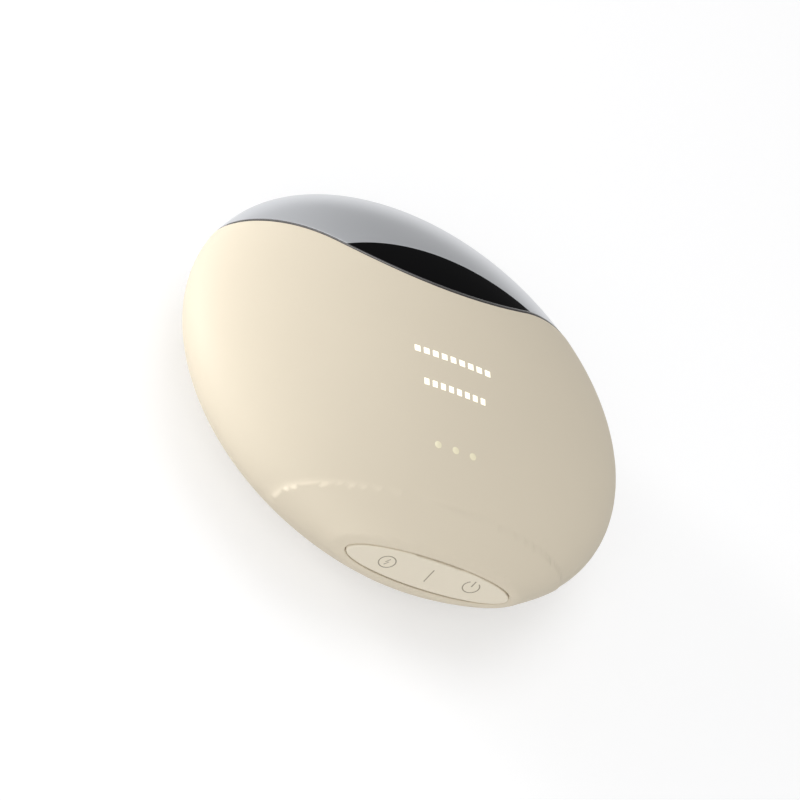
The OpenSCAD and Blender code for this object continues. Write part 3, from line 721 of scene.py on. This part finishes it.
def oval_ring(shrink, y):
    """The plate's outline at one level, with the shallow notch in its upper edge."""
    turns = np.linspace(0, 2 * math.pi, KEY_SIDES, endpoint=False)
    x = (KEY_HALF_W - shrink) * np.cos(turns)
    z = (KEY_HALF_H - shrink) * np.sin(turns)
    run = np.clip((NOTCH_HALF - np.abs(x)) / NOTCH_RUN, 0, 1)
    run = run * run * (3 - 2 * run)
    z -= np.where(z > 0, NOTCH_DEPTH * run * np.clip(z / (KEY_HALF_H - 1), 0, 1) ** 8, 0)
    return np.stack([x, np.full_like(x, y), z + KEY_RISE], -1)


def ring_stack(rings, close_start=True, close_end=True):
    """Faces between rings of equal length, with an even cap at each end."""
    count = len(rings[0])
    faces = []
    for k in range(len(rings) - 1):
        for i in range(count):
            j = (i + 1) % count
            faces.append([k * count + i, k * count + j, (k + 1) * count + j, (k + 1) * count + i])
    points = np.concatenate(rings)
    for wanted, k in ((close_start, 0), (close_end, len(rings) - 1)):
        if wanted:
            points = np.concatenate([points, rings[k].mean(axis=0, keepdims=True)])
            middle = len(points) - 1
            for i in range(count):
                j = (i + 1) % count
                pair = [k * count + j, k * count + i] if k == 0 else [k * count + i, k * count + j]
                faces.append([*pair, middle])
    return points, faces


def outward(piece, sharp_degrees=40.0):
    """Turns a closed piece's faces outward and shades it smooth but for its sharp edges."""
    bm = bmesh.new()
    bm.from_mesh(piece.data)
    bmesh.ops.recalc_face_normals(bm, faces=bm.faces)
    bm.to_mesh(piece.data)
    bm.free()
    piece.data.shade_smooth()
    piece.data.set_sharp_from_angle(angle=math.radians(sharp_degrees))
    return piece


plate_rings = [oval_ring(KEY_BACK_INSET, PLATE_Y + KEY_T), oval_ring(0.0, PLATE_Y + KEY_T)]
for step in range(KEY_EDGE_STEPS + 1):
    turn = math.radians(90 * step / KEY_EDGE_STEPS)
    inset = KEY_EDGE * (1 - math.cos(turn))
    plate_rings.append(oval_ring(inset, PLATE_Y + KEY_EDGE * (1 - math.sin(turn))))
for step in range(1, KEY_RINGS):
    inset = KEY_EDGE + (KEY_HALF_H - KEY_EDGE - KEY_CORE) * step / KEY_RINGS
    plate_rings.append(oval_ring(inset, PLATE_Y))
key_satin = finish("key_satin", (0.78, 0.71, 0.575), 0.4, grain=6.0, colour_shift=0.05,
                   roughness_shift=0.1, bump=0.1, specular=0.4)
plate = outward(new_piece("key_plate_cap", *ring_stack(plate_rings)))
dress(plate, "key", "key", key_satin, "key_plate")


def printed_line(name, strokes):
    """Fine lines along strokes given as points of the plate's face, closed or open."""
    curve = bpy.data.curves.new(name, "CURVE")
    curve.dimensions = "3D"
    curve.bevel_depth = PRINT_R * MM
    curve.bevel_resolution = 3
    curve.use_fill_caps = True
    for points, closed in strokes:
        spline = curve.splines.new("POLY")
        spline.points.add(len(points) - 1)
        spline.use_cyclic_u = closed
        for point, (x, z) in zip(spline.points, points):
            point.co = (x * MM, 0.0, (z + BODY_Z) * MM, 1.0)
    maker = bpy.data.objects.new(name + "_maker", curve)
    bpy.context.scene.collection.objects.link(maker)
    mesh = bpy.data.meshes.new_from_object(maker.evaluated_get(bpy.context.evaluated_depsgraph_get()))
    bpy.data.objects.remove(maker)
    for vert in mesh.vertices:
        vert.co.y = (BODY_Y + PLATE_Y) * MM + vert.co.y * PRINT_T / PRINT_R
    mesh.name = name
    mesh.shade_smooth()
    piece = bpy.data.objects.new(name, mesh)
    bpy.context.scene.collection.objects.link(piece)
    return piece


def arc_points(centre, radius, start, stop, count):
    turns = np.radians(np.linspace(start, stop, count))
    return [(centre[0] + radius * math.cos(t), centre[1] + radius * math.sin(t)) for t in turns]


def shifted(centre, points):
    return [(centre[0] + x, centre[1] + z) for x, z in points]


print_ink = finish("printed_line", (0.30, 0.26, 0.19), 0.5, grain=8.0, colour_shift=0.1, bump=0.05)
bolt = shifted(CHARGE_AT, [(0.22, 0.8), (-0.3, -0.08), (0.3, 0.08), (-0.22, -0.8)])
charge_sign = printed_line("charge_sign", [
    (arc_points(CHARGE_AT, SIGN_R, 0, 354, 60), True), (bolt, False)])
power_sign = printed_line("power_sign", [
    (arc_points(POWER_AT, SIGN_R, 125, 415, 56), False),
    (shifted(POWER_AT, [(0, SIGN_R + 0.15), (0, 0.1)]), False)])
divider = printed_line("key_divider", [
    ([(STROKE_X, KEY_RISE - STROKE_DOWN), (STROKE_X, KEY_RISE + STROKE_UP)], False)])
for sign in (charge_sign, power_sign, divider):
    dress(sign, "key", "key", print_ink)

# --- Metal head --------------------------------------------------------------------------
# A deep-drawn and polished metal cap that wraps the head from front to back. A thin strip
# and a dark gasket join it to the shell, and a black window lies flush in its front.

HEAD_SINK = 0.2
HEAD_WALL = 1.8
HEAD_EDGE = 0.16
HEAD_START = 0.9
WINDOW_X = 4.0
WINDOW_Y = -23.8
WINDOW_R = 48.0
WINDOW_SLIP = 0.05
WINDOW_EDGE = 0.08
TRIM = (0.28, 0.8)
GASKETS = ((0.02, 0.28), (0.8, 0.9))
STRIP_DEPTH = 1.9
LOOP_STEPS = 900


def window_area(grow, side):
    """Distance from the window's round upper outline, counted on the front only."""
    def field(p):
        inside = WINDOW_R + grow - np.hypot(p[..., 0] - WINDOW_X, p[..., 1] - WINDOW_Y)
        return np.where(p[..., 2] > 0, side * inside, -side * BODY_R)
    return field


polished = finish("polished_metal", (0.635, 0.65, 0.675), 0.3, metallic=1.0, grain=1.2, colour_shift=0.03,
                  roughness_shift=0.06, bump=0.01, stretch=(1, 3, 1))
black_gloss = finish("black_window", (0.0045, 0.0045, 0.0048), 0.2, grain=2.0, colour_shift=0.1,
                     roughness_shift=0.05, bump=0.01, specular=0.005)
head = skin_piece("metal_cap", [beyond_edge(HEAD_START), window_area(0.0, -1.0)], [HEAD_EDGE] * 2,
                  HEAD_WALL, sink=HEAD_SINK)
dress(head, "housing", "head_metal", polished, "massage_head")
window = skin_piece("dark_window", [beyond_edge(HEAD_START), window_area(-WINDOW_SLIP, 1.0)],
                    [WINDOW_EDGE] * 2, HEAD_WALL, sink=HEAD_SINK)
dress(window, "housing", "window", black_gloss, "light_window")


def edge_loop(shift, inset):
    """The closed line round the body at a shift from the edge curve and an inset."""
    semi_r = BODY_R - inset
    low, high = EDGE_RUN, semi_r
    for _ in range(50):
        middle = (low + high) / 2
        if middle ** 2 + (float(edge_y(middle)) + shift) ** 2 > semi_r ** 2:
            high = middle
        else:
            low = middle
    turns = np.linspace(0, 2 * math.pi, LOOP_STEPS, endpoint=False)
    x = low * np.cos(turns)
    y = edge_y(x) + shift
    rise = np.sqrt(np.maximum(1 - (x ** 2 + y ** 2) / semi_r ** 2, 0))
    return np.stack([x, y, np.sign(np.sin(turns)) * (BODY_HALF_T - inset) * rise], -1)


def strip_rings(span, top, edge_r):
    """Points and faces of a closed strip round the body between two shifts, its edges rounded."""
    profile = [(span[0], STRIP_DEPTH)]
    for side, turns in ((0, (180, 160, 140, 115, 90)), (1, (90, 65, 40, 20, 0))):
        middle = span[0] + edge_r if side == 0 else span[1] - edge_r
        for turn in turns:
            profile.append((middle + edge_r * math.cos(math.radians(turn)),
                            top + edge_r * (1 - math.sin(math.radians(turn)))))
    profile.append((span[1], STRIP_DEPTH))
    loops = [edge_loop(*place) for place in profile]
    points, faces = ring_stack(loops + [loops[0]], False, False)
    count = len(loops) * LOOP_STEPS
    faces = [[i % count for i in face] for face in faces]
    return points[:count], faces


def strip(name, spans, top, edge_r):
    """One piece made of a closed strip for each span."""
    points = []
    faces = []
    for span in spans:
        more_points, more_faces = strip_rings(span, top, edge_r)
        faces += [[i + len(points) for i in face] for face in more_faces]
        points += list(more_points)
    return outward(new_piece(name, points, faces), 60.0)


trim_metal = finish("trim_metal", (0.20, 0.195, 0.195), 0.2, metallic=1.0, grain=1.2, colour_shift=0.04,
                    roughness_shift=0.06, bump=0.01)
dark_rubber = finish("dark_rubber", (0.012, 0.012, 0.013), 0.6, grain=5.0, colour_shift=0.15, bump=0.1)
trim_strip = strip("trim_strip", [TRIM], HEAD_SINK / 2, 0.12)
dress(trim_strip, "housing", "trim_metal", trim_metal, "trim_ring")
gasket_strip = strip("gasket_strip", GASKETS, HEAD_SINK, 0.04)
dress(gasket_strip, "housing", "seal", dark_rubber, "head_gasket")

# --- Back cover --------------------------------------------------------------------------
# The moulded lower half, with the same coat as the shell. It clips in behind the seam, is
# flat where the device rests, and has two holes for the charging contacts.

COVER_TOP = -8.75
COVER_EDGE = 0.25
COVER_WALL = 2.0
CONTACT_X = 4.0
CONTACT_HOLE_R = 1.25


def off_contacts(p):
    """Distance from the two contact holes, counted on the resting side only."""
    away = np.hypot(np.abs(p[..., 0]) - CONTACT_X, p[..., 1]) - CONTACT_HOLE_R
    return np.where(p[..., 2] < COVER_TOP, away, BODY_R)


cover_satin = finish("cover_satin", SHELL_COLOUR, 0.6, grain=5.0, colour_shift=0.05, bump=0.15,
                     specular=0.3)
cover = skin_piece("back_shell", [beyond_edge(0.0, -1.0), below(COVER_TOP), off_contacts],
                   [COVER_EDGE] * 3, COVER_WALL)
dress(cover, "housing", "cover", cover_satin, "back_cover")

# --- Inner mouldings ---------------------------------------------------------------------
# Dark glass-filled nylon parts that hold everything inside: the carrier of the head, the
# frame for board and battery, the frame behind the key plate and the light mask.


def finish_nodes(material, *names):
    for name in names:
        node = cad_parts[name]
        node.data.materials.clear()
        node.data.materials.append(material)


dark_nylon = finish("dark_nylon", (0.030, 0.030, 0.032), 0.55, grain=3.0, colour_shift=0.25,
                    roughness_shift=0.2, bump=0.3, stretch=(1, 0.4, 1))
finish_nodes(dark_nylon, "head_carrier", "inner_frame", "key_frame", "light_mask")
finish_nodes(dark_rubber, "cover_seal", "motor_boot")

# --- Circuit boards ----------------------------------------------------------------------
# Glass-fibre boards under green solder mask, with copper tracks that show as lighter lines
# and small tinned pads where parts are soldered.

TRACK_PITCH = 1.3


def board_finish(name, colour, track, turn):
    """Solder mask with lighter tracks and tinned pads in the plane that turn sets."""
    material = finish(name, colour, 0.32, grain=4.0, colour_shift=0.12, bump=0.08)
    nodes, links = material.node_tree.nodes, material.node_tree.links
    grained = nodes["grain"]
    place = nodes.new("ShaderNodeTexCoord")
    turned = nodes.new("ShaderNodeMapping")
    turned.inputs["Rotation"].default_value = turn
    tracks = nodes.new("ShaderNodeTexBrick")
    tracks.inputs["Scale"].default_value = 1 / (TRACK_PITCH * MM)
    tracks.inputs["Mortar Size"].default_value = 0.045
    tracks.inputs["Mortar Smooth"].default_value = 0.2
    tracks.inputs["Brick Width"].default_value = 3.0
    tracks.inputs["Row Height"].default_value = 0.8
    tracks.inputs["Color1"].default_value = (*colour, 1.0)
    tracks.inputs["Color2"].default_value = (*[c * 0.9 for c in colour], 1.0)
    tracks.inputs["Mortar"].default_value = (*track, 1.0)
    links.new(place.outputs["Object"], turned.inputs["Vector"])
    links.new(turned.outputs["Vector"], tracks.inputs["Vector"])
    pads = nodes.new("ShaderNodeTexVoronoi")
    pads.inputs["Scale"].default_value = 450.0
    links.new(turned.outputs["Vector"], pads.inputs["Vector"])
    near = nodes.new("ShaderNodeMath")
    near.operation = "LESS_THAN"
    near.inputs[1].default_value = 0.16
    links.new(pads.outputs["Distance"], near.inputs[0])
    both = nodes.new("ShaderNodeMix")
    both.data_type = "RGBA"
    both.inputs["B"].default_value = (0.62, 0.60, 0.55, 1.0)
    links.new(near.outputs[0], both.inputs["Factor"])
    links.new(tracks.outputs["Color"], both.inputs["A"])
    links.new(both.outputs["Result"], grained.inputs["Colour"])
    return material


finish_nodes(board_finish("green_board", (0.015, 0.11, 0.055), (0.05, 0.22, 0.11), (0, 0, 0)),
             "main_board", "led_board", "charge_board")
finish_nodes(board_finish("upright_board", (0.015, 0.11, 0.055), (0.05, 0.22, 0.11), (math.pi / 2, 0, 0)),
             "key_board")
finish_nodes(board_finish("brown_board", (0.10, 0.055, 0.02), (0.3, 0.18, 0.07), (0, 0, 0)), "motor_base")
finish_nodes(finish("chip_black", (0.012, 0.012, 0.013), 0.5, grain=3.0, colour_shift=0.2, bump=0.2),
             "board_parts", "thermistor", "key_switches")

# --- Light sources -----------------------------------------------------------------------
# Small moulded light sources: red ones under the head's window, and warm white ones under
# the light guide.

finish_nodes(glow("red_lens", (0.62, 0.02, 0.015), 0.1), "red_leds")
finish_nodes(glow("warm_lens", (0.95, 0.86, 0.55), 0.2), "indicator_leds")

# --- Battery and motor -------------------------------------------------------------------
# A foil-wrapped pouch cell on a foam pad, and a coin vibration motor with a pressed steel
# case, a fixed shaft and an eccentric rotor.

finish_nodes(finish("cell_foil", (0.60, 0.61, 0.63), 0.3, metallic=0.9, grain=0.8, colour_shift=0.1,
                    roughness_shift=0.25, bump=0.35, depth=0.0001), "battery")
finish_nodes(finish("foam_tape", (0.74, 0.74, 0.71), 0.9, grain=5.0, colour_shift=0.2, bump=0.6,
                    depth=0.0001), "battery_pad")
finish_nodes(finish("pressed_steel", (0.56, 0.56, 0.57), 0.3, metallic=1.0, grain=1.5, colour_shift=0.08,
                    roughness_shift=0.15, bump=0.05, stretch=(1, 1, 8)),
             "motor_case", "motor_shaft", "key_pin", "frame_screws", "charge_magnets")
finish_nodes(finish("sintered_weight", (0.30, 0.29, 0.27), 0.45, metallic=0.9, grain=4.0, colour_shift=0.2,
                    bump=0.25), "motor_rotor")

# --- Leads and contacts ------------------------------------------------------------------
# Orange polyimide leads with copper tracks, insulated wires, and gold-plated contacts and
# springs. A brushed aluminium plate spreads the warmth of the heater film.

TRACKS_PER_M = 900.0


def flex_finish(name, turn):
    """Orange film with copper tracks that run as turn sets."""
    material = finish(name, (0.45, 0.17, 0.03), 0.3, grain=3.0, colour_shift=0.08, bump=0.05)
    nodes, links = material.node_tree.nodes, material.node_tree.links
    place = nodes.new("ShaderNodeTexCoord")
    turned = nodes.new("ShaderNodeMapping")
    turned.inputs["Rotation"].default_value = turn
    waves = nodes.new("ShaderNodeTexWave")
    waves.inputs["Scale"].default_value = TRACKS_PER_M / math.tau * 2
    waves.inputs["Distortion"].default_value = 0.0
    links.new(place.outputs["Object"], turned.inputs["Vector"])
    links.new(turned.outputs["Vector"], waves.inputs["Vector"])
    both = nodes.new("ShaderNodeMix")
    both.data_type = "RGBA"
    both.inputs["A"].default_value = (0.40, 0.15, 0.025, 1.0)
    both.inputs["B"].default_value = (0.66, 0.34, 0.12, 1.0)
    links.new(waves.outputs["Fac"], both.inputs["Factor"])
    links.new(both.outputs["Result"], nodes["grain"].inputs["Colour"])
    return material


finish_nodes(flex_finish("flex_along", (0, 0, 0)), "head_flex", "key_flex")
finish_nodes(flex_finish("flex_upright", (0, math.pi / 2, 0)), "heater_film")
finish_nodes(finish("brushed_aluminium", (0.70, 0.71, 0.73), 0.35, metallic=1.0, grain=3.0,
                    colour_shift=0.1, roughness_shift=0.2, bump=0.15, stretch=(0.1, 2, 2)), "heat_spreader")
finish_nodes(finish("gold_plate", (0.83, 0.60, 0.24), 0.22, metallic=1.0, grain=3.0, colour_shift=0.06,
                    roughness_shift=0.1, bump=0.04), "contact_springs", "charge_contacts")
finish_nodes(finish("red_wire", (0.42, 0.018, 0.012), 0.4, grain=3.0, colour_shift=0.1, bump=0.06),
             "battery_leads")
finish_nodes(finish("black_wire", (0.014, 0.014, 0.015), 0.4, grain=3.0, colour_shift=0.1, bump=0.06),
             "charge_leads")
